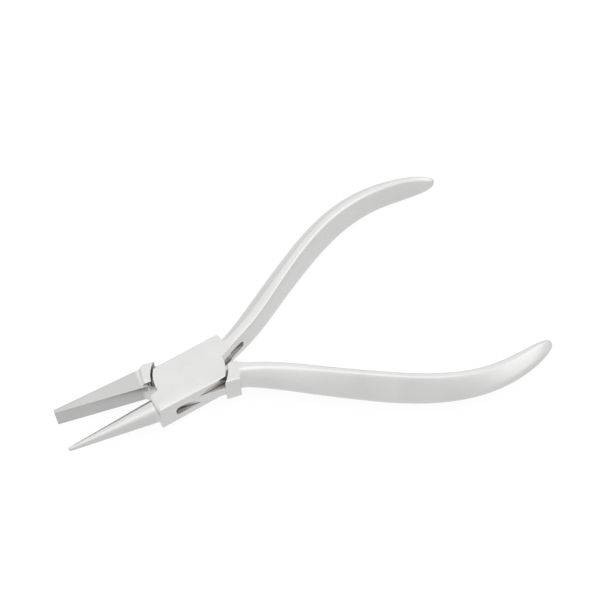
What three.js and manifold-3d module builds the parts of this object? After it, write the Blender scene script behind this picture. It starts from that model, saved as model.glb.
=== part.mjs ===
// Box-joint jewellery pliers with one flat jaw and one round jaw.
// Two steel forgings cross at a box joint: the tongue of one half passes through the slot of the
// other half, and a single flush rivet holds them together.
// Frame, in millimetres: +X points from the pivot to the jaw tips, +Z runs along the pivot, and
// the origin is on the pivot axis in the plane of the lower cheek. The halves are drawn closed,
// with the line of grip on the X axis, and are then turned open about the pivot.
import * as THREE from "three";
import Module from "manifold-3d";
import { mergeVertices } from "three/addons/utils/BufferGeometryUtils.js";

const wasm = await Module();
wasm.setup();

// ---- Driving dimensions ----
const OPENING_DEG = 14.5; // angle between the jaws as drawn
const JOINT_THICKNESS = 8.4;
const JOINT_WIDTH = 12.6;
const JOINT_HALF_LENGTH = 12.2; // pivot to the end of either shoulder block
const CHEEK_RADIUS = 9.4; // round ends of the cheeks and of the tongue
const SHOULDER_RADIUS = 10.0; // hollow that the round ends turn in
const TONGUE_THICKNESS = 2.8;
const SLIDING_GAP = 0.1; // between the tongue and each cheek
// How far each shoulder block's inner side stands off the line of grip, towards its own side, at
// the end near the pivot and at the far end.
const BOX_STAND_OFF = { handle: [-0.6, 0.5], jaw: [0.2, 1.0] };
const TONGUE_STAND_OFF = { handle: [0.9, 0.5], jaw: [0.4, 0.4] };
const SHOULDER_SLANT = 0.4; // the blocks at the handles end square to the handles, not to the axis
const SHOULDER_CORNER = [1.5, 1.2]; // cut off the flat jaw's shoulder, along X and Y
const EDGE_ROUND = 0.6;

const JAW_TIP = 35.5; // pivot to the tip of either jaw
const GRIP_GAP = 0.05; // from the line of grip to each closed jaw
const FLAT_JAW_DEPTH = 5.8;
const FLAT_TIP_WIDTH = 1.0;
const FLAT_ROOT_WIDTH = 6.0;
const ROUND_TIP_RADIUS = 0.5;
const ROUND_ROOT_RADIUS = 3.0;
const ROUND_TIP_GAP = 0.25; // the round jaw stands off this much more at its tip

const RIVET_RADIUS = 2.0;
const RIVET_HEAD_RADIUS = 2.6;
const RIVET_HEAD_DEPTH = 0.8;
const RIVET_FIT = 0.03; // rivet to cheek, tight
const RIVET_CLEARANCE = 0.08; // rivet to tongue, running

// Middle line of a handle, closed, from inside the shoulder to the end, as a distance behind the
// pivot and a distance out from the axis, and the handle's width and depth at shares of its length.
const HANDLE_LINE = [
  [10.9, 2.7],
  [20.9, 6.6],
  [36.0, 14.35],
  [51.0, 21.4],
  [62.0, 24.95],
  [73.0, 25.95],
  [84.0, 23.8],
  [94.0, 19.5],
];
const HANDLE_WIDTH = [[0, 4.8], [0.18, 5.8], [0.66, 5.9], [0.84, 5.5], [1, 4.6]];
const HANDLE_DEPTH = [[0, 8.0], [0.05, 8.1], [0.47, 11.8], [0.78, 9.4], [0.9, 8.8], [1, 7.4]];
// How square the section is on its inner side, which is nearly flat, and on its outer side, at
// shares of the length; 2 would be an ellipse.
const INNER_SQUARENESS = [[0, 7], [1, 6]];
const OUTER_SQUARENESS = [[0, 6], [0.1, 3], [1, 2.6]];
const HANDLE_END_LENGTH = 9.5; // length over which the end rounds off
const HANDLE_SECTIONS = 44;
const HANDLE_SIDES = 24;

const GROOVE_END = 16.6; // pivot to the end of the slot's run-out in the box half's handle
const GROOVE_DEPTH = 1.6;
const ROUND_SEGMENTS = 48;

const HALF_THICKNESS = JOINT_THICKNESS / 2;
const HALF_WIDTH = JOINT_WIDTH / 2;
const BOX_SIDE = 1; // the box half's jaw is on +Y
const TONGUE_SIDE = -1;
const ALONG_Z = new THREE.Vector3(0, 0, 1);

// ---- Solids ----
// A closed three.js geometry as a solid that can be cut and joined.
function solid(geometry) {
  const bare = geometry.index ? geometry.toNonIndexed() : geometry.clone();
  bare.deleteAttribute("normal");
  bare.deleteAttribute("uv");
  const merged = mergeVertices(bare, 1e-4);
  return new wasm.Manifold(new wasm.Mesh({
    numProp: 3,
    vertProperties: merged.attributes.position.array,
    triVerts: new Uint32Array(merged.index.array),
  }));
}

// A solid as a named three.js mesh.
function meshOf(name, body, material) {
  const { vertProperties, triVerts } = body.getMesh();
  const geometry = new THREE.BufferGeometry();
  geometry.setAttribute("position", new THREE.Float32BufferAttribute(vertProperties, 3));
  geometry.setIndex(new THREE.Uint32BufferAttribute(triVerts, 1));
  geometry.computeVertexNormals();
  const mesh = new THREE.Mesh(geometry, material);
  mesh.name = name;
  return mesh;
}

// A plan outline given thickness about the middle plane.
function plate(outline, thickness) {
  const curveSegments = ROUND_SEGMENTS / 2;
  const geometry = new THREE.ExtrudeGeometry(outline, { depth: thickness, curveSegments, bevelEnabled: false });
  geometry.translate(0, 0, -thickness / 2);
  return solid(geometry);
}

// A bar along X of the joint's width and thickness, with its four long edges rounded.
function jointBar() {
  const across = HALF_WIDTH - EDGE_ROUND;
  const up = HALF_THICKNESS - EDGE_ROUND;
  const section = new THREE.Shape();
  section.moveTo(HALF_THICKNESS, -across);
  section.lineTo(HALF_THICKNESS, across);
  section.absarc(up, across, EDGE_ROUND, 0, Math.PI / 2);
  section.absarc(-up, across, EDGE_ROUND, Math.PI / 2, Math.PI);
  section.absarc(-up, -across, EDGE_ROUND, Math.PI, Math.PI * 1.5);
  section.absarc(up, -across, EDGE_ROUND, Math.PI * 1.5, Math.PI * 2);
  const depth = 4 * JOINT_HALF_LENGTH;
  const geometry = new THREE.ExtrudeGeometry(section, { depth, curveSegments: 4, bevelEnabled: false });
  geometry.translate(0, 0, -depth / 2);
  geometry.rotateY(Math.PI / 2);
  return solid(geometry);
}

// A round piece on the pivot axis, from its half profile of [radius, height] points.
function turned(profile) {
  const points = profile.map(([radius, height]) => new THREE.Vector2(radius, height));
  const geometry = new THREE.LatheGeometry(points, ROUND_SEGMENTS);
  geometry.rotateX(Math.PI / 2);
  return solid(geometry);
}

function disc(radius, low, high) {
  return turned([[0, low], [radius, low], [radius, high], [0, high]]);
}

// The value of a list of [share, value] pairs at a share, eased between them.
function valueAt(pairs, share) {
  const after = Math.max(1, pairs.findIndex(([at]) => at >= share));
  const [from, low] = pairs[after - 1];
  const [to, high] = pairs[after];
  return THREE.MathUtils.lerp(low, high, THREE.MathUtils.smoothstep(share, from, to));
}

// ---- Handle ----
// A cylinder bent along the handle's middle line: flat on its inner side and full on its outer.
function handle(side) {
  const points = HANDLE_LINE.map(([back, out]) => new THREE.Vector3(-back, -side * out, 0));
  const line = new THREE.CatmullRomCurve3(points);
  const length = line.getLength();
  const geometry = new THREE.CylinderGeometry(1, 1, 1, HANDLE_SIDES, HANDLE_SECTIONS);
  const position = geometry.attributes.position;
  for (let i = 0; i < position.count; i += 1) {
    const share = THREE.MathUtils.clamp(0.5 - position.getY(i), 0, 1);
    // sections crowd together towards the rounded end
    const along = Math.sin((share * Math.PI) / 2) * 0.5 + share * 0.5;
    const toEnd = Math.min(1, ((1 - along) * length) / HANDLE_END_LENGTH);
    const ended = Math.max(0.05, Math.sqrt(1 - (1 - toEnd) ** 2));
    const [x, z] = [position.getX(i), position.getZ(i)];
    const radius = Math.hypot(x, z);
    const power = valueAt(x * side > 0 ? OUTER_SQUARENESS : INNER_SQUARENESS, along);
    const squared = (Math.abs(x) ** power + Math.abs(z) ** power) ** (1 / power);
    const grown = radius > 0 ? (ended * radius) / squared / 2 : 0;
    const across = x * grown * valueAt(HANDLE_WIDTH, along);
    const up = z * grown * valueAt(HANDLE_DEPTH, along);
    const tangent = line.getTangentAt(along);
    const sideways = new THREE.Vector3().crossVectors(ALONG_Z, tangent);
    const at = line.getPointAt(along).addScaledVector(sideways, across).addScaledVector(ALONG_Z, up);
    position.setXYZ(i, at.x, at.y, at.z);
  }
  return solid(geometry);
}

// ---- Jaws ----
// Flat jaw: a wedge whose inner face is the grip.
function flatJaw(side) {
  const root = JOINT_HALF_LENGTH - 1;
  const outline = new THREE.Shape();
  outline.moveTo(root, side * GRIP_GAP);
  outline.lineTo(JAW_TIP, side * GRIP_GAP);
  outline.lineTo(JAW_TIP, side * FLAT_TIP_WIDTH);
  outline.lineTo(root, side * FLAT_ROOT_WIDTH);
  return plate(outline, FLAT_JAW_DEPTH);
}

// Round jaw: a cone with a domed tip, leaning so that its inner line lies along the line of grip.
function roundJaw(side) {
  const root = JOINT_HALF_LENGTH - 1;
  const length = JAW_TIP - root;
  const profile = new THREE.Path();
  profile.moveTo(0, 0);
  profile.lineTo(ROUND_ROOT_RADIUS, 0);
  profile.lineTo(ROUND_TIP_RADIUS, length - ROUND_TIP_RADIUS);
  profile.absarc(0, length - ROUND_TIP_RADIUS, ROUND_TIP_RADIUS, 0, Math.PI / 2);
  const cone = new THREE.LatheGeometry(profile.getPoints(6), ROUND_SEGMENTS);
  const lean = Math.atan2(ROUND_ROOT_RADIUS - ROUND_TIP_RADIUS - ROUND_TIP_GAP, length - ROUND_TIP_RADIUS);
  cone.rotateZ(-Math.PI / 2 - side * lean);
  cone.translate(root, side * (ROUND_ROOT_RADIUS / Math.cos(lean) + GRIP_GAP), 0);
  return solid(cone);
}

// ---- Joint ----
// Plan of one half's joint, drawn with its jaw on +Y and its handle on -Y: a shoulder block at
// each, and round ends elsewhere.
function jointPlan(side, standOff) {
  const corner = Math.asin(HALF_WIDTH / CHEEK_RADIUS);
  const [handleNear, handleFar] = standOff.handle;
  const [jawNear, jawFar] = standOff.jaw;
  const plan = new THREE.Shape();
  plan.moveTo(JOINT_HALF_LENGTH, jawFar);
  if (side === TONGUE_SIDE) {
    const [cutAlong, cutAcross] = SHOULDER_CORNER;
    plan.lineTo(JOINT_HALF_LENGTH, HALF_WIDTH - cutAcross);
    plan.lineTo(JOINT_HALF_LENGTH - cutAlong, HALF_WIDTH);
  } else {
    plan.lineTo(JOINT_HALF_LENGTH, HALF_WIDTH);
  }
  plan.absarc(0, 0, CHEEK_RADIUS, Math.PI - corner, Math.PI + Math.asin(handleNear / CHEEK_RADIUS));
  plan.lineTo(-JOINT_HALF_LENGTH - SHOULDER_SLANT, -handleFar);
  plan.lineTo(-JOINT_HALF_LENGTH + SHOULDER_SLANT, -HALF_WIDTH);
  plan.absarc(0, 0, CHEEK_RADIUS, -corner, Math.asin(jawNear / CHEEK_RADIUS));
  if (side === BOX_SIDE) return plan;
  const mirrored = plan.getPoints(ROUND_SEGMENTS / 2).map(({ x, y }) => new THREE.Vector2(x, -y));
  return new THREE.Shape(mirrored);
}

// The slot's run-out: a round-ended groove in the inner side of the box half's handle root.
function groove() {
  const slotHeight = TONGUE_THICKNESS + 2 * SLIDING_GAP;
  const [[back0, out0], [back1, out1]] = HANDLE_LINE;
  const direction = new THREE.Vector3(-(back1 - back0), -(out1 - out0), 0).normalize();
  const inwards = new THREE.Vector3(-direction.y, direction.x, 0).multiplyScalar(-1);
  const end = new THREE.Shape();
  end.absarc(0, 0, slotHeight / 2, -Math.PI / 2, Math.PI / 2);
  end.lineTo(slotHeight / 2 - GROOVE_END, slotHeight / 2);
  end.lineTo(slotHeight / 2 - GROOVE_END, -slotHeight / 2);
  const geometry = new THREE.ExtrudeGeometry(end, { depth: 6, curveSegments: 8, bevelEnabled: false });
  // the profile's X runs along the handle, its Y up, and its depth out of the handle's inner side
  geometry.applyMatrix4(new THREE.Matrix4().makeBasis(direction, ALONG_Z, inwards));
  const reach = GROOVE_END - slotHeight / 2;
  const startOut = valueAt(HANDLE_WIDTH, 0) / 2 - GROOVE_DEPTH;
  const at = new THREE.Vector3(-back0, -out0, 0)
    .addScaledVector(direction, reach - back0)
    .addScaledVector(inwards, startOut);
  geometry.translate(at.x, at.y, at.z);
  return solid(geometry);
}

// Box half: slotted joint, round jaw on +Y and handle on -Y.
function boxHalf() {
  const slot = TONGUE_THICKNESS / 2 + SLIDING_GAP;
  const hole = RIVET_RADIUS + RIVET_FIT;
  const head = RIVET_HEAD_RADIUS + RIVET_FIT;
  const sink = HALF_THICKNESS - RIVET_HEAD_DEPTH;
  const past = HALF_THICKNESS + 1;
  const rivetHole = turned([
    [0, -past], [head, -past], [head, -HALF_THICKNESS], [hole, -sink],
    [hole, sink], [head, HALF_THICKNESS], [head, past], [0, past],
  ]);
  return plate(jointPlan(BOX_SIDE, BOX_STAND_OFF), JOINT_THICKNESS)
    .intersect(jointBar())
    .add(handle(BOX_SIDE))
    .add(roundJaw(BOX_SIDE))
    .subtract(disc(SHOULDER_RADIUS, -slot, slot))
    .subtract(groove())
    .subtract(rivetHole);
}

// Tongue half: thinned to a tongue between its shoulders, flat jaw on -Y and handle on +Y.
function tongueHalf() {
  const half = TONGUE_THICKNESS / 2;
  const past = HALF_THICKNESS + 1;
  return plate(jointPlan(TONGUE_SIDE, TONGUE_STAND_OFF), JOINT_THICKNESS)
    .intersect(jointBar())
    .add(handle(TONGUE_SIDE))
    .add(flatJaw(TONGUE_SIDE))
    .subtract(disc(SHOULDER_RADIUS, half, past))
    .subtract(disc(SHOULDER_RADIUS, -past, -half))
    .subtract(disc(RIVET_RADIUS + RIVET_CLEARANCE, -past, past));
}

// Rivet: swaged into both cheeks and ground flush with them.
function rivet() {
  const sink = HALF_THICKNESS - RIVET_HEAD_DEPTH;
  return turned([
    [0, -HALF_THICKNESS], [RIVET_HEAD_RADIUS, -HALF_THICKNESS], [RIVET_RADIUS, -sink],
    [RIVET_RADIUS, sink], [RIVET_HEAD_RADIUS, HALF_THICKNESS], [0, HALF_THICKNESS],
  ]);
}

// ---- Assembly ----
const polished = new THREE.MeshStandardMaterial({ color: 0xd9dad8, roughness: 0.25, metalness: 1 });
const boxGroup = new THREE.Group();
boxGroup.rotateZ(THREE.MathUtils.degToRad(OPENING_DEG / 2));
boxGroup.add(meshOf("box_half", boxHalf(), polished));
boxGroup.add(meshOf("pivot_rivet", rivet(), polished));

const tongueGroup = new THREE.Group();
tongueGroup.rotateZ(THREE.MathUtils.degToRad(-OPENING_DEG / 2));
tongueGroup.add(meshOf("tongue_half", tongueHalf(), polished));

const pliers = new THREE.Group();
pliers.position.z = HALF_THICKNESS;
pliers.add(boxGroup, tongueGroup);

export default pliers;
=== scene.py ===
# %% [markdown]
# A pair of jewellery pliers in bright steel. Two forgings cross at a box joint: the tongue of one
# passes through a slot in the other, and one rivet, ground flush, holds them. One jaw is flat and
# the other is a round cone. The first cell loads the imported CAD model, which fixes every size and
# place, and keeps its box so that the finished pieces can be compared with it at the end.

# %% Load the frame
import math

import bpy
from mathutils import Matrix, Vector


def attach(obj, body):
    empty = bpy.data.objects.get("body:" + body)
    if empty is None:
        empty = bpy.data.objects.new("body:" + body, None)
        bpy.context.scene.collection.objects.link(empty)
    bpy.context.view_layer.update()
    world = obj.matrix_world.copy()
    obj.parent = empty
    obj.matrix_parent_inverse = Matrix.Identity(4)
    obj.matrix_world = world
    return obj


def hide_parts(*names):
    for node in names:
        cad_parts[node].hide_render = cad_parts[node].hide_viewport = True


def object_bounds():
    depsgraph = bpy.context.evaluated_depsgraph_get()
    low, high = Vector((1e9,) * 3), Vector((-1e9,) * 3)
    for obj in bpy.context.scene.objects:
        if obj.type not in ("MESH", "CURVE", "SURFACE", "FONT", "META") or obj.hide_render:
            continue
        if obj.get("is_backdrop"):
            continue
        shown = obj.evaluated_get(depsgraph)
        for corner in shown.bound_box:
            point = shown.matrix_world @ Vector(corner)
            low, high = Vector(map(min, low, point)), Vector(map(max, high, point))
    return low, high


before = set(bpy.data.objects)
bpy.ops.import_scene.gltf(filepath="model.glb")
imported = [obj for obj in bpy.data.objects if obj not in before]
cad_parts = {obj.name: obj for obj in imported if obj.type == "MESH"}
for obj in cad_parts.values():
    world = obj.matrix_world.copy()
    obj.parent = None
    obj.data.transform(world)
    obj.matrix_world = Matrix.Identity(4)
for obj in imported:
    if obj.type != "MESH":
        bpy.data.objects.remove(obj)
bpy.context.view_layer.update()
cad_low, cad_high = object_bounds()
print("CAD box, metres:", [round(v, 4) for v in (*cad_low, *cad_high)])

# %% [markdown]
# Every length below is in millimetres, as on a workshop drawing, and MM turns it into the metres
# that the frame uses. Each half is modelled as it lies when the jaws are closed, with the line of
# grip on the X axis and the joint's middle plane at height zero. It is then turned open about the
# pivot and lifted, so that the lower cheek's outer face lies at height zero, as in the CAD.

# %% Sizes shared by both halves
MM = 0.001
HALF_OPENING = math.radians(7.25)
JOINT_THICKNESS = 8.4
JOINT_WIDTH = 12.6
JOINT_HALF_LENGTH = 12.2
CHEEK_RADIUS = 9.4
SHOULDER_RADIUS = 10.0
TONGUE_THICKNESS = 2.8
SLIDING_GAP = 0.1
JAW_TIP = 35.5
GRIP_GAP = 0.05
RIVET_RADIUS = 2.0
RIVET_HEAD_RADIUS = 2.6
RIVET_HEAD_DEPTH = 0.8
RIVET_FIT = 0.01
RIVET_CLEARANCE = 0.08
ROUND_SIDES = 128

HALF_THICKNESS = JOINT_THICKNESS / 2
HALF_WIDTH = JOINT_WIDTH / 2
SAME_PLACE = 0.001  # points nearer than this are the same point
EDGE_ANGLE = math.radians(32)  # a sharper turn than this between two faces is a real edge

print("jaws and joint, mm:", JAW_TIP + JOINT_HALF_LENGTH)

# %% [markdown]
# A few helpers stand for what a hand does all the time: pick one object, and pick some points or
# edges of it by their place. The flags are set in object mode, because edit mode keeps a copy of
# the mesh of its own.

# %% Helpers for picking
def pick(piece):
    """Makes this the only selected object and the active one."""
    bpy.ops.object.select_all(action="DESELECT")
    piece.select_set(True)
    bpy.context.view_layer.objects.active = piece
    return piece


def name_new(name):
    """Names the object that was just added, and its mesh."""
    piece = bpy.context.active_object
    piece.name = name
    piece.data.name = name
    return pick(piece)


def select_points(piece, wanted):
    """In edit mode, selects the points for which wanted(place in millimetres) is true."""
    bpy.ops.mesh.select_mode(type="VERT")
    bpy.ops.mesh.select_all(action="DESELECT")
    bpy.ops.object.mode_set(mode="OBJECT")
    for point in piece.data.vertices:
        point.select = bool(wanted(point.co / MM))
    bpy.ops.object.mode_set(mode="EDIT")


def select_edges(piece, wanted):
    """In edit mode, selects the edges for which wanted(one end, other end) is true."""
    bpy.ops.mesh.select_mode(type="EDGE")
    bpy.ops.mesh.select_all(action="DESELECT")
    bpy.ops.object.mode_set(mode="OBJECT")
    for edge in piece.data.edges:
        edge.select = bool(wanted(*(piece.data.vertices[i].co / MM for i in edge.vertices)))
    bpy.ops.object.mode_set(mode="EDIT")


def face_outwards():
    """In edit mode, turns every face outwards, and goes back to object mode."""
    bpy.ops.mesh.select_all(action="SELECT")
    bpy.ops.mesh.normals_make_consistent(inside=False)
    bpy.ops.object.mode_set(mode="OBJECT")


# %% [markdown]
# Most of the cutting is done with two shapes, a block with moved corners and a drum. A modifier
# joins them to the work or takes them out of it, and is applied at once, as a cut is.

# %% Helpers for shaping
def apply_modifier(piece, kind, **settings):
    """Adds a modifier with these settings and applies it."""
    pick(piece)
    modifier = piece.modifiers.new(kind.lower(), kind)
    for key, value in settings.items():
        setattr(modifier, key, value)
    bpy.ops.object.modifier_apply(modifier=modifier.name)


def combine(piece, tool, operation):
    """Joins the tool to the piece or cuts it out, and throws the tool away."""
    apply_modifier(
        piece, "BOOLEAN", object=tool, operation=operation, solver="EXACT", material_mode="TRANSFER"
    )
    bpy.data.objects.remove(tool, do_unlink=True)


def add_block(name, corners, low, high):
    """A block between two heights whose plan is these four corners, from a cube."""
    bpy.ops.mesh.primitive_cube_add(size=1)
    block = name_new(name)
    bpy.ops.object.mode_set(mode="EDIT")
    starts = [(-0.5, -0.5), (0.5, -0.5), (0.5, 0.5), (-0.5, 0.5)]
    for (start_x, start_y), (x, y) in zip(starts, corners):
        corner = Vector((start_x, start_y)) / MM
        select_points(block, lambda p: (p.xy - corner).length < SAME_PLACE)
        bpy.ops.transform.translate(value=(x * MM - start_x, y * MM - start_y, 0))
    for start_z, z in ((-0.5, low), (0.5, high)):
        select_points(block, lambda p: abs(p.z - start_z / MM) < SAME_PLACE)
        bpy.ops.transform.translate(value=(0, 0, z * MM - start_z))
    face_outwards()
    return block


def add_drum(name, radius, low, high):
    """An upright drum on the pivot axis."""
    bpy.ops.mesh.primitive_cylinder_add(
        vertices=ROUND_SIDES,
        radius=radius * MM,
        depth=(high - low) * MM,
        location=(0, 0, (low + high) / 2 * MM),
    )
    drum = name_new(name)
    bpy.ops.object.transform_apply(location=True, rotation=True, scale=True)
    return drum


# %% [markdown]
# A finish is a small network of shader nodes. These helpers make the few parts that all the
# networks share. Every pattern is laid out on the object's own coordinates, so it needs no
# unwrapping and stays where it is on the steel when the piece moves.

# %% Helpers for finishes
def new_material(name):
    """A new material, with what is needed to wire it up."""
    material = bpy.data.materials.new(name)
    material.use_nodes = True
    nodes = material.node_tree.nodes
    return material, nodes, material.node_tree.links, nodes["Principled BSDF"]


def add_noise(nodes, links, source, stretch, scale, detail):
    """A noise on the object's own coordinates, stretched by different amounts along its axes."""
    mapping = nodes.new("ShaderNodeMapping")
    mapping.inputs["Scale"].default_value = stretch
    links.new(source, mapping.inputs["Vector"])
    noise = nodes.new("ShaderNodeTexNoise")
    noise.inputs["Scale"].default_value = scale
    noise.inputs["Detail"].default_value = detail
    links.new(mapping.outputs["Vector"], noise.inputs["Vector"])
    return noise.outputs["Fac"]


def remap(nodes, links, value, from_low, from_high, to_low, to_high):
    """Stretches a value from one range to another, and holds it inside."""
    node = nodes.new("ShaderNodeMapRange")
    node.inputs["From Min"].default_value = from_low
    node.inputs["From Max"].default_value = from_high
    node.inputs["To Min"].default_value = to_low
    node.inputs["To Max"].default_value = to_high
    links.new(value, node.inputs["Value"])
    return node.outputs["Result"]


# %% [markdown]
# Steel that is worn in one place and stained in another needs its values and colours worked out
# from more than one pattern, and fine scratches need a relief. These are small steps too.

# %% Helpers for mixing finishes
def calculate(nodes, links, operation, first, second):
    """Works out one value from two, each of them a number or a socket."""
    node = nodes.new("ShaderNodeMath")
    node.operation = operation
    for socket, value in zip(node.inputs, (first, second)):
        if isinstance(value, (int, float)):
            socket.default_value = value
        else:
            links.new(value, socket)
    return node.outputs["Value"]


def mix_colours(nodes, links, factor, first, second):
    """Blends two colours, each of them a tuple or a socket."""
    mix = nodes.new("ShaderNodeMix")
    mix.data_type = "RGBA"
    for name, colour in (("A", first), ("B", second)):
        if isinstance(colour, tuple):
            mix.inputs[name].default_value = (*colour, 1)
        else:
            links.new(colour, mix.inputs[name])
    links.new(factor, mix.inputs["Factor"])
    return mix.outputs["Result"]


def add_bump(nodes, links, shader, height, strength, distance):
    """Gives the surface a fine relief."""
    bump = nodes.new("ShaderNodeBump")
    bump.inputs["Strength"].default_value = strength
    bump.inputs["Distance"].default_value = distance
    links.new(height, bump.inputs["Height"])
    links.new(bump.outputs["Normal"], shader.inputs["Normal"])


def paint(piece, material):
    """Gives the whole piece one finish."""
    piece.data.materials.clear()
    piece.data.materials.append(material)
    return piece


# %% [markdown]
# What can be reached from outside is bright. The joint is polished, the handles keep a softer,
# satin look from the finishing wheel, and the jaws are only ground, the flat one most of all, so
# they are duller and a little darker. A noise that is stretched along the tool gives the wheel's
# fine lines, and a broad one gives the clouding that handling leaves. One finish does for the
# whole outside, because the changes from part to part can be masks along the tool's length.

# %% Bright steel
# Between which places a change begins and is full, in metres from the pivot.
SATIN_HANDLES = (-0.030, -0.011)  # along the tool
GROUND_JAWS = (0.0118, 0.0128)  # along the tool
ROUND_JAW_FROM = (-0.0014, -0.0010)  # across the tool
ROUND_JAW_SHARE = 0.4  # how much of the ground look the round jaw has


def bright_steel():
    """The finish of all that can be reached from outside."""
    material, nodes, links, shader = new_material("bright_steel")
    shader.inputs["Metallic"].default_value = 1.0
    place = nodes.new("ShaderNodeTexCoord").outputs["Object"]
    lines = add_noise(nodes, links, place, (0.06, 1, 1), 1500, 2)
    clouds = add_noise(nodes, links, place, (1, 1, 1), 120, 3)
    parts = nodes.new("ShaderNodeSeparateXYZ")
    links.new(place, parts.inputs["Vector"])
    satin = remap(nodes, links, parts.outputs["X"], *SATIN_HANDLES, 0.13, 0.0)
    gloss = remap(nodes, links, clouds, 0.35, 0.7, 0.13, 0.2)
    at_jaws = remap(nodes, links, parts.outputs["X"], *GROUND_JAWS, 0.0, 1.0)
    by_jaw = remap(nodes, links, parts.outputs["Y"], *ROUND_JAW_FROM, 1.0, ROUND_JAW_SHARE)
    ground = calculate(nodes, links, "MULTIPLY", at_jaws, by_jaw)
    rough = calculate(nodes, links, "ADD", gloss, satin)
    rough = calculate(nodes, links, "ADD", rough, calculate(nodes, links, "MULTIPLY", ground, 0.2))
    rough = calculate(nodes, links, "ADD", rough, remap(nodes, links, lines, 0.3, 0.7, -0.02, 0.03))
    links.new(rough, shader.inputs["Roughness"])
    factor = remap(nodes, links, clouds, 0.3, 0.7, 0, 1)
    tint = mix_colours(nodes, links, factor, (0.560, 0.560, 0.555), (0.590, 0.590, 0.585))
    darker = nodes.new("ShaderNodeHueSaturation")
    links.new(tint, darker.inputs["Color"])
    links.new(remap(nodes, links, ground, 0, 1, 1.0, 0.78), darker.inputs["Value"])
    links.new(darker.outputs["Color"], shader.inputs["Base Color"])
    add_bump(nodes, links, shader, lines, 0.05, 0.00001)
    return material


BRIGHT = bright_steel()
print("finish:", BRIGHT.name)

# %% [markdown]
# The faces that rub inside the joint are only milled, which gives them a brown tinge. Their colour
# is painted much darker than milled steel, as painted shade for the shade deep in the joint and
# under the cheeks' lips. Near the joint's outer sides the painted shade fades out and the steel
# shows lighter. How far out a place is has to be measured from each half's own middle line, so each
# half has its own copy, turned with it.

# %% Milled steel with painted shade
SHADE_FADE_RIM = (0.0049, 0.0060)  # metres from the middle line between which the painted shade begins to fade and is gone


def milled_steel_with_painted_shade(name, turn):
    """The finish of the rubbing faces of the half that lies turned by this angle, with painted
    shade over all but the part near the joint's outer sides.
    """
    material, nodes, links, shader = new_material(name)
    shader.inputs["Metallic"].default_value = 1.0
    place = nodes.new("ShaderNodeTexCoord").outputs["Object"]
    marks = add_noise(nodes, links, place, (1, 0.15, 1), 3000, 3)
    stains = add_noise(nodes, links, place, (1, 1, 1), 350, 4)
    factor = remap(nodes, links, stains, 0.35, 0.65, 0, 1)
    # Painted shade: both colours are much darker than milled steel, for the shade inside the joint;
    # the stains noise mottles between them.
    tint = mix_colours(nodes, links, factor, (0.17, 0.145, 0.135), (0.36, 0.32, 0.30))
    closed = nodes.new("ShaderNodeMapping")
    closed.inputs["Rotation"].default_value = (0, 0, -turn)
    links.new(place, closed.inputs["Vector"])
    parts = nodes.new("ShaderNodeSeparateXYZ")
    links.new(closed.outputs["Vector"], parts.inputs["Vector"])
    outwards = calculate(nodes, links, "ABSOLUTE", parts.outputs["Y"], 0)
    # The painted shade fades out towards the joint's outer sides, where the lighter steel colour
    # shows.
    out_of_shade = remap(nodes, links, outwards, *SHADE_FADE_RIM, 0, 1)
    colour = mix_colours(nodes, links, out_of_shade, tint, (0.56, 0.53, 0.515))
    links.new(colour, shader.inputs["Base Color"])
    links.new(remap(nodes, links, marks, 0.3, 0.7, 0.34, 0.5), shader.inputs["Roughness"])
    add_bump(nodes, links, shader, marks, 0.3, 0.00002)
    return material


MILLED = milled_steel_with_painted_shade("milled_steel_with_painted_shade", HALF_OPENING)
MILLED_TONGUE = milled_steel_with_painted_shade("milled_tongue_steel_with_painted_shade", -HALF_OPENING)
print("finishes:", MILLED.name, MILLED_TONGUE.name)

# %% [markdown]
# A handle is a bar whose inner side is flat, with a soft ridge above and below, and whose outer
# side is full and round for the palm. It grows deeper towards the palm, bows outwards and ends in a
# smooth tip. Its shape is written down as a middle line and a row of sections along it, which is
# how a forger's gauges would check it.

# %% Handle: middle line
# Distance back from the pivot, and out from the line of grip.
HANDLE_LINE = [
    (10.9, 2.7),
    (20.9, 6.6),
    (36.0, 14.35),
    (51.0, 21.4),
    (62.0, 24.95),
    (73.0, 25.95),
    (84.0, 23.8),
    (94.4, 19.3),
]


def add_bend_line(side):
    """The handle's middle line as a smooth curve."""
    data = bpy.data.curves.new("handle_line", "CURVE")
    data.dimensions = "3D"
    data.twist_mode = "Z_UP"
    data.resolution_u = 64
    spline = data.splines.new("BEZIER")
    spline.bezier_points.add(len(HANDLE_LINE) - 1)
    for point, (back, out) in zip(spline.bezier_points, HANDLE_LINE):
        point.co = (-back * MM, -side * out * MM, 0)
        point.handle_left_type = point.handle_right_type = "AUTO"
    line = bpy.data.objects.new("handle_line", data)
    bpy.context.scene.collection.objects.link(line)
    return line


print("handle's middle line, points:", len(HANDLE_LINE))

# %% [markdown]
# Only the upper half of each section is written down, because the lower half mirrors it. The
# sections stand closer together where the shape changes fast, at the root and at the tip.

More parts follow.
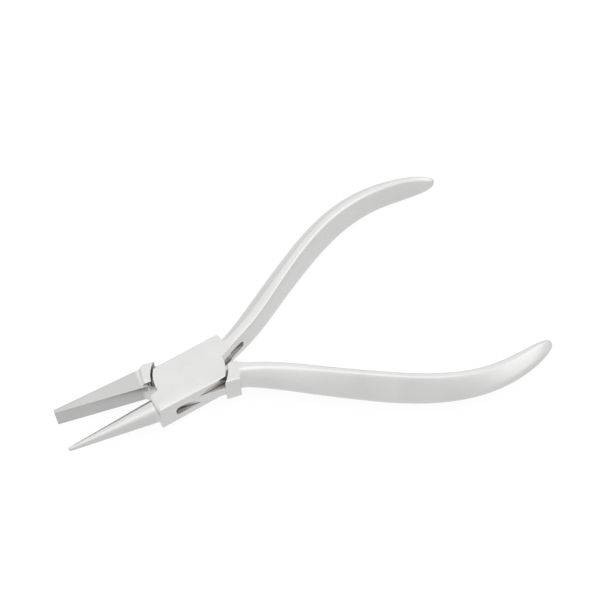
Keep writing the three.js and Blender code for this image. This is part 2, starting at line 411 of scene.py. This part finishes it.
# %% Handle: sections
# Distance along the handle, width and depth; how far the inner ridges are cut; how far the outer
# side's rounding reaches across and down, and how much that side bulges.
HANDLE_STATIONS = [
    (0.0, 5.0, 8.2, 0.35, 0.35, 0.35, 0.0),
    (1.4, 5.0, 8.2, 0.35, 2.0, 1.8, 0.2),
    (2.6, 4.8, 8.0, 0.4, 2.4, 2.0, 0.3),
    (4.5, 5.0, 8.2, 0.4, 2.7, 2.2, 0.4),
    (9.0, 5.5, 8.7, 0.5, 3.2, 2.4, 0.5),
    (16.0, 5.9, 9.5, 0.6, 3.6, 2.7, 0.5),
    (24.0, 5.8, 10.5, 0.7, 3.6, 3.1, 0.5),
    (32.0, 5.8, 11.5, 0.8, 3.6, 3.5, 0.6),
    (41.0, 5.9, 12.0, 0.9, 3.6, 3.7, 0.6),
    (50.0, 6.0, 11.5, 0.9, 3.7, 3.6, 0.7),
    (58.0, 6.1, 10.6, 0.9, 3.8, 3.3, 0.8),
    (65.5, 6.0, 9.8, 0.9, 3.8, 2.9, 1.0),
    (72.5, 5.8, 9.3, 0.9, 3.7, 2.5, 1.3),
    (78.0, 5.3, 8.8, 0.9, 3.4, 2.2, 1.4),
    (81.5, 4.8, 8.1, 1.0, 3.0, 2.0, 1.3),
    (84.3, 4.1, 6.8, 1.0, 2.5, 1.8, 1.1),
    (86.3, 3.2, 5.0, 0.8, 1.9, 1.4, 0.8),
    (87.4, 2.3, 3.4, 0.6, 1.3, 0.9, 0.5),
    (88.0, 1.3, 1.8, 0.3, 0.7, 0.5, 0.3),
]


def section_columns(width, depth, ridge, across, down, crown):
    """A section's points as (across, up) pairs: over the top, then the middle of each side."""
    ridge_at = width / 2 - ridge
    round_at = across - width / 2
    return [
        (width / 2, depth / 2 - ridge),
        (ridge_at, depth / 2),
        ((ridge_at + round_at) / 2, depth / 2),
        (round_at, depth / 2),
        (crown - width / 2, depth / 2 - down),
        (-width / 2, 0),
        (width / 2, 0),
    ]


print("handle, mm:", HANDLE_STATIONS[-1][0], "in", len(HANDLE_STATIONS), "sections")

# %% [markdown]
# The handle could be carved from a block, but a lofted bar is smoother. One end face is drawn and
# extruded station by station along a straight line, and at each station its points are moved to
# that station's section. They are found again by their place, one column of the section at a time.

# %% Handle: moving a section
def column_points(bar, x, inward, columns):
    """The numbers of the end section's points, column by column."""
    found = [[] for _ in columns]
    for point in bar.data.vertices:
        place = point.co / MM
        if abs(place.x - x) > SAME_PLACE:
            continue
        gaps = [abs(inward * place.y - y) + abs(abs(place.z) - z) for y, z in columns]
        if min(gaps) < SAME_PLACE:
            found[gaps.index(min(gaps))].append(point.index)
    return found


def move_section(bar, x, inward, old, new):
    """Moves the end section's points from one station's columns to the next station's."""
    bpy.ops.mesh.select_mode(type="VERT")
    bpy.ops.mesh.select_all(action="DESELECT")
    bpy.ops.object.mode_set(mode="OBJECT")
    groups = column_points(bar, x, inward, old)
    for numbers, (y, z), (new_y, new_z) in zip(groups, old, new):
        for number in numbers:
            bar.data.vertices[number].select = True
        bpy.ops.object.mode_set(mode="EDIT")
        bpy.ops.transform.translate(value=(0, inward * (new_y - y) * MM, 0))
        if z:
            bpy.ops.transform.resize(value=(1, 1, new_z / z), center_override=(x * MM, 0, 0))
        bpy.ops.mesh.select_all(action="DESELECT")
        bpy.ops.object.mode_set(mode="OBJECT")
    bpy.ops.object.mode_set(mode="EDIT")


# %% [markdown]
# The straight bar is bent along its middle line with a Curve modifier. Subdivision comes after the
# bend, so that the polished surface has no flats to catch the light. The root's edge is creased,
# because a rounded root would leave a gap at the joint.

# %% Handle: lofting and bending
def add_root_face(name, width, depth, ridge):
    """The handle's root as one face across X with its corners cut, left in edit mode."""
    bpy.ops.mesh.primitive_plane_add(size=1, rotation=(0, math.pi / 2, 0))
    bar = name_new(name)
    bpy.ops.object.transform_apply(location=True, rotation=True, scale=True)
    bpy.ops.object.mode_set(mode="EDIT")
    bpy.ops.mesh.select_all(action="SELECT")
    bpy.ops.transform.resize(value=(1, width * MM, depth * MM), center_override=(0, 0, 0))
    bpy.ops.mesh.subdivide(number_cuts=1)
    near = 10 * SAME_PLACE
    select_points(bar, lambda p: abs(p.y) > width / 2 - near and abs(p.z) > depth / 2 - near)
    bpy.ops.mesh.bevel(offset=ridge * MM, affect="VERTICES")
    return bar


def add_handle(name, side):
    """The handle of the half whose jaw is on this side; the handle itself is on the other."""
    root, *root_section = HANDLE_STATIONS[0]
    bar = add_root_face(name, *root_section[:3])
    x, columns = root, section_columns(*root_section)
    for next_x, *section in HANDLE_STATIONS[1:]:
        select_points(bar, lambda p: abs(p.x - x) < SAME_PLACE)
        bpy.ops.mesh.select_mode(type="FACE")
        step = {"value": ((next_x - x) * MM, 0, 0)}
        bpy.ops.mesh.extrude_region_move(TRANSFORM_OT_translate=step)
        next_columns = section_columns(*section)
        move_section(bar, next_x, -side, columns, next_columns)
        x, columns = next_x, next_columns
    select_points(bar, lambda p: abs(p.x - root) < SAME_PLACE)
    bpy.ops.mesh.select_mode(type="EDGE")
    bpy.ops.transform.edge_crease(value=1)
    face_outwards()
    line = add_bend_line(side)
    apply_modifier(bar, "CURVE", object=line, deform_axis="POS_X")
    bpy.data.objects.remove(line, do_unlink=True)
    apply_modifier(bar, "SUBSURF", levels=3, render_levels=3)
    print(name, "faces:", len(bar.data.polygons))
    return paint(bar, BRIGHT)


# %% [markdown]
# Each half's part of the joint starts as a block with its four long edges rounded by the grinding
# belt. Two corners are then cleared so that only round ends are left there: the tool that clears a
# corner is a block with a drum taken out of it. The other two corners stay as shoulders, one at
# the jaw and one at the handle.

# %% Joint block
EDGE_ROUND = 0.6
# How far each shoulder's inner side stands off the line of grip, near the pivot and far from it.
BOX_STAND_OFF = {"handle": (-0.6, 0.5), "jaw": (0.2, 1.0)}
TONGUE_STAND_OFF = {"handle": (0.9, 0.5), "jaw": (0.4, 0.4)}
SHOULDER_SLANT = 0.4  # the handle's end of the joint stands square to the handle
BEYOND = 3.0  # how far a cutting tool runs past what it cuts


def clear_corner(block, side, near, far):
    """Clears the corner on this side beyond a line from near to far, up to the round end."""
    slope = (far[1] - near[1]) / (far[0] - near[0])
    out = far[0] + math.copysign(BEYOND, far[0])
    edge = side * (HALF_WIDTH + BEYOND)
    at_pivot = near[1] - slope * near[0]
    at_end = far[1] + slope * (out - far[0])
    corners = [(0, edge), (out, edge), (out, at_end), (0, at_pivot)]
    reach = HALF_THICKNESS + BEYOND
    tool = paint(add_block("corner", corners, -reach, reach), BRIGHT)
    reach += BEYOND
    combine(tool, paint(add_drum("round_end", CHEEK_RADIUS, -reach, reach), BRIGHT), "DIFFERENCE")
    combine(block, tool, "DIFFERENCE")


def add_joint_block(name, side, stand_off):
    """The joint of a half whose jaw is on this side."""
    handle_near, handle_far = stand_off["handle"]
    jaw_near, jaw_far = stand_off["jaw"]
    slant = 2 * SHOULDER_SLANT / (HALF_WIDTH - handle_far)
    handle_end = -JOINT_HALF_LENGTH - SHOULDER_SLANT
    corners = [
        (-JOINT_HALF_LENGTH + SHOULDER_SLANT, -side * HALF_WIDTH),
        (JOINT_HALF_LENGTH, -side * HALF_WIDTH),
        (JOINT_HALF_LENGTH, side * HALF_WIDTH),
        (handle_end - slant * (HALF_WIDTH + handle_far), side * HALF_WIDTH),
    ]
    block = paint(add_block(name, corners, -HALF_THICKNESS, HALF_THICKNESS), BRIGHT)
    bpy.ops.object.mode_set(mode="EDIT")
    select_edges(block, lambda first, second: abs(first.x - second.x) > JOINT_HALF_LENGTH)
    bpy.ops.mesh.bevel(offset=EDGE_ROUND * MM, segments=4, affect="EDGES")
    bpy.ops.object.mode_set(mode="OBJECT")
    near, far = (CHEEK_RADIUS, side * jaw_near), (JOINT_HALF_LENGTH, side * jaw_far)
    clear_corner(block, -side, near, far)
    near, far = (-CHEEK_RADIUS, -side * handle_near), (handle_end, -side * handle_far)
    clear_corner(block, side, near, far)
    print(name, "block, faces:", len(block.data.polygons))
    return block


# %% [markdown]
# The grinder then cuts ramps on the joint's front edges, and a light pass of the stone breaks
# every sharp edge. A plane cut makes the ramps, since they have to be flat, and a Bevel modifier
# that looks for sharp angles finds all the edges, even where the cuts above have met.

# %% Ramps and broken edges
CRISP_EDGE = 0.1


def slice_off(piece, place, normal):
    """Slices off what lies beyond a plane and closes the cut."""
    pick(piece)
    bpy.ops.object.mode_set(mode="EDIT")
    bpy.ops.mesh.select_all(action="SELECT")
    bpy.ops.mesh.bisect(
        plane_co=Vector(place) * MM, plane_no=normal, use_fill=True, clear_outer=True
    )
    bpy.ops.object.mode_set(mode="OBJECT")


def ramp_front(block, cut):
    """Cuts a ramp along the upper and lower edges of the joint's front."""
    for end in (-1, 1):
        place = (JOINT_HALF_LENGTH, 0, end * (HALF_THICKNESS - cut))
        slice_off(block, place, (0.7, 0, end * 0.7))


def soften_edges(block, width):
    """Breaks every sharp edge by the same small width."""
    pick(block)
    bpy.ops.object.mode_set(mode="EDIT")
    bpy.ops.mesh.select_all(action="SELECT")
    bpy.ops.mesh.remove_doubles(threshold=width * MM / 3)
    bpy.ops.object.mode_set(mode="OBJECT")
    settings = {"segments": 2, "limit_method": "ANGLE", "angle_limit": EDGE_ANGLE}
    apply_modifier(block, "BEVEL", width=width * MM, **settings)


# %% [markdown]
# The round jaw is a slim cone with a domed tip. Its inner line has to lie along the line of grip
# when the jaws are closed, so the cone leans outwards by half its own angle. At its root a small
# fillet keeps it from cracking there. The fillet is made first, as a helper that flares the foot of
# a cone.

# %% Round jaw: fillet
ROUND_ROOT_RADIUS = 3.0
JAW_ROOT = JOINT_HALF_LENGTH - 1  # inside the joint, so that jaw and joint join well
FILLET_RADIUS = 0.3
FILLET_END = JOINT_HALF_LENGTH + FILLET_RADIUS
FILLET_STEPS = 4
FILLET_SUNK = 0.8  # how far the fillet's foot runs on into the joint


def flare_root(jaw, root, along):
    """Draws the cone's base back in steps that widen like a quarter circle, as a fillet."""
    reach = FILLET_END - JAW_ROOT
    bpy.ops.object.mode_set(mode="EDIT")
    select_points(jaw, lambda p: (p - root).dot(along) < 0.01)
    bpy.ops.transform.translate(value=along * reach * MM)
    bpy.ops.mesh.select_mode(type="FACE")
    radius = ROUND_ROOT_RADIUS
    turned = 0.0
    for step in range(1, FILLET_STEPS + 1):
        angle = step / FILLET_STEPS * math.pi / 2
        back = FILLET_RADIUS * (math.sin(angle) - math.sin(turned))
        wider = radius + FILLET_RADIUS * (math.cos(turned) - math.cos(angle))
        centre = (root + along * (reach - FILLET_RADIUS * math.sin(angle))) * MM
        bpy.ops.mesh.extrude_region_move(TRANSFORM_OT_translate={"value": -along * back * MM})
        bpy.ops.transform.resize(value=(wider / radius,) * 3, center_override=centre)
        radius, turned = wider, angle
    bpy.ops.mesh.extrude_region_move(TRANSFORM_OT_translate={"value": -along * FILLET_SUNK * MM})
    bpy.ops.object.mode_set(mode="OBJECT")


print("fillet, mm:", FILLET_RADIUS, "in", FILLET_STEPS, "steps")

# %% [markdown]
# The cone itself starts upright at its own centre and is turned to lie along the tool. What
# reaches past the line of grip, which is mostly the fillet, is cut away, because it would foul the
# flat jaw.

# %% Round jaw: cone
ROUND_TIP_RADIUS = 0.5
ROUND_TIP_REACH = 0.3  # further than the flat jaw
ROUND_TIP_GAP = 0.25  # a jaw like this one touches first near its root
ROUND_TIP_DOME = 0.7  # the share of the tip's radius that is rounded


def add_round_jaw(name, side):
    """The cone of the half whose jaw is on this side."""
    length = JAW_TIP + ROUND_TIP_REACH - JAW_ROOT
    lean = math.atan2(ROUND_ROOT_RADIUS - ROUND_TIP_RADIUS - ROUND_TIP_GAP, length)
    root = Vector((JAW_ROOT, side * (ROUND_ROOT_RADIUS / math.cos(lean) + GRIP_GAP), 0))
    along = Vector((math.cos(lean), -side * math.sin(lean), 0))
    bpy.ops.mesh.primitive_cone_add(
        vertices=ROUND_SIDES,
        radius1=ROUND_ROOT_RADIUS * MM,
        radius2=ROUND_TIP_RADIUS * MM,
        depth=length * MM,
        location=(root + along * length / 2) * MM,
        rotation=(0, math.pi / 2, -side * lean),
    )
    jaw = name_new(name)
    bpy.ops.object.transform_apply(location=True, rotation=True, scale=True)
    bpy.ops.object.mode_set(mode="EDIT")
    select_points(jaw, lambda p: p.x > JAW_TIP - 1)
    bpy.ops.mesh.bevel(offset=ROUND_TIP_RADIUS * ROUND_TIP_DOME * MM, segments=6, affect="EDGES")
    bpy.ops.object.mode_set(mode="OBJECT")
    flare_root(jaw, root, along)
    paint(jaw, BRIGHT)
    corners = [(0, -side * BEYOND), (JAW_TIP, -side * BEYOND), (JAW_TIP, 0), (0, 0)]
    beyond_grip = paint(add_block("beyond_grip", corners, -HALF_THICKNESS, HALF_THICKNESS), BRIGHT)
    combine(jaw, beyond_grip, "DIFFERENCE")
    print(name, "leans out by", round(math.degrees(lean), 2), "degrees")
    return jaw


# %% [markdown]
# The flat jaw is a wedge that is thinner than the joint, with a plain smooth grip face on the line
# of grip. It has no curves, so a block with four moved corners is all that it needs.

# %% Flat jaw
FLAT_JAW_DEPTH = 5.8
FLAT_TIP_WIDTH = 1.0
FLAT_ROOT_WIDTH = 6.0


def add_flat_jaw(name, side):
    """The wedge of the half whose jaw is on this side."""
    corners = [
        (JAW_ROOT, side * GRIP_GAP),
        (JAW_TIP, side * GRIP_GAP),
        (JAW_TIP, side * FLAT_TIP_WIDTH),
        (JAW_ROOT, side * FLAT_ROOT_WIDTH),
    ]
    jaw = paint(add_block(name, corners, -FLAT_JAW_DEPTH / 2, FLAT_JAW_DEPTH / 2), BRIGHT)
    soften_edges(jaw, CRISP_EDGE)
    print(name, "tip, mm:", FLAT_TIP_WIDTH, "by", FLAT_JAW_DEPTH)
    return jaw


# %% [markdown]
# The box half has a slot between its two cheeks. It is milled as a wide drum, which leaves a
# round-ended window in each side of the joint.

# %% Slot tool
SLOT_HALF = TONGUE_THICKNESS / 2 + SLIDING_GAP
SLOT_CORNER = 0.95


def add_slot_tool():
    """A wide drum whose upper and lower rims are rounded."""
    slot = paint(add_drum("slot", SHOULDER_RADIUS, -SLOT_HALF, SLOT_HALF), MILLED)
    bpy.ops.object.mode_set(mode="EDIT")
    select_edges(slot, lambda first, second: abs(first.z - second.z) < SAME_PLACE)
    bpy.ops.mesh.bevel(offset=SLOT_CORNER * MM, segments=5, affect="EDGES")
    bpy.ops.object.mode_set(mode="OBJECT")
    return slot


print("slot, mm:", round(2 * SLOT_HALF, 2))

# %% [markdown]
# The slot's cutter runs out in a groove along the inner side of the handle. The groove's tool is a
# bar with a round lower side that slopes up, and a round end. It is drawn upright along the X axis
# and then turned to lie in the handle's root.

# %% Groove tool
BOX_SIDE = 1
GROOVE_START = 9.0
GROOVE_END = 17.2
GROOVE_DEPTH = 1.6
GROOVE_END_DEPTH = 0.6
GROOVE_TOOL_HEIGHT = 6.0
GROOVE_ROUNDING = 0.97  # a full half circle would leave faces without width


def is_groove_edge(first, second):
    """True for the bar's lower edges and for those around its far end."""
    if max(first.x, second.x) < SAME_PLACE:
        return False
    lower = max(first.y, second.y) < GROOVE_DEPTH
    across_end = min(first.x, second.x) > SAME_PLACE and abs(first.z - second.z) < SAME_PLACE
    return lower or across_end


def add_groove_tool():
    """The bar along the root of the box half's handle."""
    (back, out), (next_back, next_out) = HANDLE_LINE[:2]
    turn = math.atan2(-BOX_SIDE * (next_out - out), -(next_back - back))
    length = GROOVE_END - GROOVE_START
    end_y = GROOVE_DEPTH - GROOVE_END_DEPTH
    corners = [(0, 0), (length, end_y), (length, GROOVE_TOOL_HEIGHT), (0, GROOVE_TOOL_HEIGHT)]
    tool = paint(add_block("groove", corners, -SLOT_HALF, SLOT_HALF), MILLED)
    bpy.ops.object.mode_set(mode="EDIT")
    select_edges(tool, is_groove_edge)
    bpy.ops.mesh.bevel(offset=SLOT_HALF * GROOVE_ROUNDING * MM, segments=10, affect="EDGES")
    bpy.ops.object.mode_set(mode="OBJECT")
    along = Vector((math.cos(turn), math.sin(turn), 0))
    inwards = Vector((math.sin(turn), -math.cos(turn), 0))
    wall = HANDLE_STATIONS[0][1] / 2
    place = Vector((-back, -BOX_SIDE * out, 0))
    place += along * (GROOVE_START - back) + inwards * (wall - GROOVE_DEPTH)
    tool.location = place * MM
    tool.rotation_euler.z = turn
    tool.scale.y = -1
    pick(tool)
    bpy.ops.object.transform_apply(location=True, rotation=True, scale=True)
    bpy.ops.object.mode_set(mode="EDIT")
    face_outwards()
    return tool


print("groove, mm:", round(GROOVE_END - GROOVE_START, 1))

# %% [markdown]
# The rivet and the hole through the cheeks have one shape. The hole is countersunk at both faces,
# so that the swaged rivet can't pull through. One helper draws both: the rivet ends at the faces,
# and the tool for the hole runs past them.

# %% Rivet shape
def add_rivet_shape(name, shank, head, past):
    """A drum whose ends flare out to the rivet's heads, and run past the faces if asked."""
    shank_end = HALF_THICKNESS - RIVET_HEAD_DEPTH
    drum = add_drum(name, shank, -shank_end, shank_end)
    for end in (-1, 1):
        bpy.ops.object.mode_set(mode="EDIT")
        bpy.ops.mesh.select_mode(type="FACE")
        bpy.ops.mesh.select_all(action="DESELECT")
        bpy.ops.object.mode_set(mode="OBJECT")
        for face in drum.data.polygons:
            face.select = face.normal.z * end > 0.9
        bpy.ops.object.mode_set(mode="EDIT")
        bpy.ops.mesh.extrude_region_move(
            TRANSFORM_OT_translate={"value": (0, 0, end * RIVET_HEAD_DEPTH * MM)}
        )
        bpy.ops.transform.resize(value=(head / shank, head / shank, 1), center_override=(0, 0, 0))
        if past:
            beyond = {"value": (0, 0, end * past * MM)}
            bpy.ops.mesh.extrude_region_move(TRANSFORM_OT_translate=beyond)
        bpy.ops.object.mode_set(mode="OBJECT")
    return drum


# %% [markdown]
# The box half is the outer forging. The joint's edges are broken before the handle and the jaw are
# joined to it, so that the line where each of them meets the joint stays crisp. The groove and the
# hole are cut last, through everything.

# %% Box half
BOX_RAMP = 0.5

box_half = add_joint_block("box_half_forging", BOX_SIDE, BOX_STAND_OFF)
ramp_front(box_half, BOX_RAMP)
combine(box_half, add_slot_tool(), "DIFFERENCE")
soften_edges(box_half, CRISP_EDGE)
combine(box_half, add_handle("box_handle", BOX_SIDE), "UNION")
combine(box_half, add_round_jaw("round_jaw", BOX_SIDE), "UNION")
combine(box_half, add_groove_tool(), "DIFFERENCE")
hole_radii = RIVET_RADIUS + RIVET_FIT, RIVET_HEAD_RADIUS + RIVET_FIT
rivet_hole = add_rivet_shape("rivet_hole", *hole_radii, BEYOND)
combine(box_half, paint(rivet_hole, MILLED), "DIFFERENCE")
print(box_half.name, "faces:", len(box_half.data.polygons))

# %% [markdown]
# The tongue half is the inner forging. Its joint is thinned from both faces by a drum a little
# larger than the cheeks' round ends, which leaves the tongue in the middle and a hollow shoulder at
# each end for the cheeks to turn in. The outer front corner of the flat jaw's shoulder is ground
# off, so that it leads into the jaw.

# %% Tongue half
TONGUE_SIDE = -1
SHOULDER_CORNER = 1.2  # cut from the flat jaw's shoulder at its outer front corner
SHOULDER_RAMP = 0.6  # cut from its upper and lower front edges

tongue_half = add_joint_block("tongue_half_forging", TONGUE_SIDE, TONGUE_STAND_OFF)
slice_off(
    tongue_half,
    (JOINT_HALF_LENGTH, TONGUE_SIDE * (HALF_WIDTH - SHOULDER_CORNER), 0),
    (0.62, TONGUE_SIDE * 0.78, 0),
)
ramp_front(tongue_half, SHOULDER_RAMP)
past_faces = HALF_THICKNESS + BEYOND
for low, high in ((TONGUE_THICKNESS / 2, past_faces), (-past_faces, -TONGUE_THICKNESS / 2)):
    clearing = paint(add_drum("clearing", SHOULDER_RADIUS, low, high), MILLED_TONGUE)
    combine(tongue_half, clearing, "DIFFERENCE")
soften_edges(tongue_half, CRISP_EDGE)
combine(tongue_half, add_handle("tongue_handle", TONGUE_SIDE), "UNION")
combine(tongue_half, add_flat_jaw("flat_jaw", TONGUE_SIDE), "UNION")
tongue_hole = add_drum("tongue_hole", RIVET_RADIUS + RIVET_CLEARANCE, -past_faces, past_faces)
combine(tongue_half, paint(tongue_hole, MILLED_TONGUE), "DIFFERENCE")
print(tongue_half.name, "faces:", len(tongue_half.data.polygons))

# %% [markdown]
# The rivet is a plain steel pin whose ends were swaged out into the countersinks and then ground
# flush and polished with the cheeks, so that only a hairline shows.

# %% Rivet
rivet = paint(add_rivet_shape("flush_rivet", RIVET_RADIUS, RIVET_HEAD_RADIUS, 0), BRIGHT)
print(rivet.name, "faces:", len(rivet.data.polygons))

# %% [markdown]
# The halves are now turned open about the pivot and lifted to the frame's height, their shading is
# made smooth except at real edges, and each rides on its own body.

# %% Open the pliers and hand them to the frame
def set_in_place(piece, turn, body, node):
    """Turns and lifts a piece, and says what it rides on and what it replaces."""
    piece.rotation_euler.z = turn
    piece.location.z = HALF_THICKNESS * MM
    pick(piece)
    bpy.ops.object.transform_apply(location=True, rotation=True, scale=True)
    bpy.ops.object.shade_smooth_by_angle(angle=EDGE_ANGLE)
    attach(piece, body)
    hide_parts(node)
    print(piece.name, "rides on", body)


set_in_place(box_half, HALF_OPENING, "box_body", "box_half")
set_in_place(rivet, HALF_OPENING, "box_body", "pivot_rivet")
set_in_place(tongue_half, -HALF_OPENING, "tongue_body", "tongue_half")

# %% [markdown]
# The tool lies on a plain white table. The table is lit from below, like a sheet of opal glass, so
# that hardly any shadow is left on it. A little of its white is still ordinary paint, which keeps
# the pieces from floating.

# %% Table
TABLE_GLOW = 0.91
TABLE_PAINT = 0.09
TABLE_GAP = 0.0001  # metres below the lowest point of the tool

floor_z = min(cad_low.z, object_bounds()[0].z) - TABLE_GAP
bpy.ops.mesh.primitive_plane_add(size=3, location=(0, 0, floor_z))
table_top = name_new("table_top")
white, nodes, links, shader = new_material("white_table")
shader.inputs["Base Color"].default_value = (TABLE_PAINT, TABLE_PAINT, TABLE_PAINT, 1)
shader.inputs["Roughness"].default_value = 0.9
shader.inputs["Specular IOR Level"].default_value = 0.0
shader.inputs["Emission Color"].default_value = (1, 1, 1, 1)
shader.inputs["Emission Strength"].default_value = TABLE_GLOW
paint(table_top, white)
table_top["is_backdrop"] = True
print("table, mm below the pivot's lower end:", round(-floor_z / MM, 2))

# %% [markdown]
# Around the table stands a light tent. One broad lamp shines on it from behind, a smaller one from
# above, and a third from low beside the handles' ends, where it puts a soft sheen on their tips.
# The difference between the lamps and the plain walls is what gives the polished faces their
# shape, so the tent is drawn in the world's light and not with lamps that bright steel would
# mirror as hard spots.

# %% Light tent
WALL_LIGHT = 1.04
# Each lamp: its direction, the cosines of the angle from it at which its glow begins and is full,
# and its strength.
TENT_LAMPS = [
    ((0.0, -0.6, 0.8), -0.2, 0.9, 0.32),
    ((0.05, 0.1, 0.99), 0.84, 1.0, 0.4),
    ((-0.75, 0.55, 0.37), 0.74, 0.97, 0.6),
]

world = bpy.data.worlds.new("light_tent")
bpy.context.scene.world = world
world.use_nodes = True
nodes, links = world.node_tree.nodes, world.node_tree.links
around = nodes.new("ShaderNodeTexCoord").outputs["Generated"]
background = nodes["Background"]
background.inputs["Color"].default_value = (1, 1, 1, 1)
light = WALL_LIGHT
for direction, from_dot, to_dot, strength in TENT_LAMPS:
    towards = nodes.new("ShaderNodeVectorMath")
    towards.operation = "DOT_PRODUCT"
    towards.inputs[1].default_value = direction
    links.new(around, towards.inputs[0])
    glow = remap(nodes, links, towards.outputs["Value"], from_dot, to_dot, 0, strength)
    light = calculate(nodes, links, "ADD", light, glow)
links.new(light, background.inputs["Strength"])
print("lamps:", len(TENT_LAMPS))

# %% [markdown]
# The camera looks down at the tool from the round jaw's side, with the jaws to the left. It is
# placed by the two directions that matter, its right and the way back from what it looks at.

# %% Camera
CAMERA_PLACE = Vector((42.0, 165.0, 268.3 + HALF_THICKNESS))
CAMERA_RIGHT = Vector((-0.902, 0.432, -0.019))
CAMERA_BACK = Vector((0.238, 0.532, 0.813))

camera_data = bpy.data.cameras.new("camera")
camera_data.sensor_width = 36
camera_data.lens = 72.95
camera = bpy.data.objects.new("camera", camera_data)
bpy.context.scene.collection.objects.link(camera)
back = CAMERA_BACK.normalized()
up = back.cross(CAMERA_RIGHT.normalized()).normalized()
right = up.cross(back)
turn = Matrix((right, up, back)).transposed().to_4x4()
camera.matrix_world = Matrix.Translation(CAMERA_PLACE * MM) @ turn
bpy.context.scene.camera = camera
bpy.context.scene.view_settings.view_transform = "Standard"
print("camera, mm from the pivot:", round(CAMERA_PLACE.length, 1))

# %% [markdown]
# Last, the finished pieces' box is compared with the CAD model's.

# %% Write the sizes and finish
bpy.context.view_layer.update()
finished_low, finished_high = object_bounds()
for corner, cad, finished in (("low", cad_low, finished_low), ("high", cad_high, finished_high)):
    cad_mm, finished_mm = ([round(v / MM, 2) for v in place] for place in (cad, finished))
    print(corner, "corner, mm: CAD", cad_mm, "finished", finished_mm)
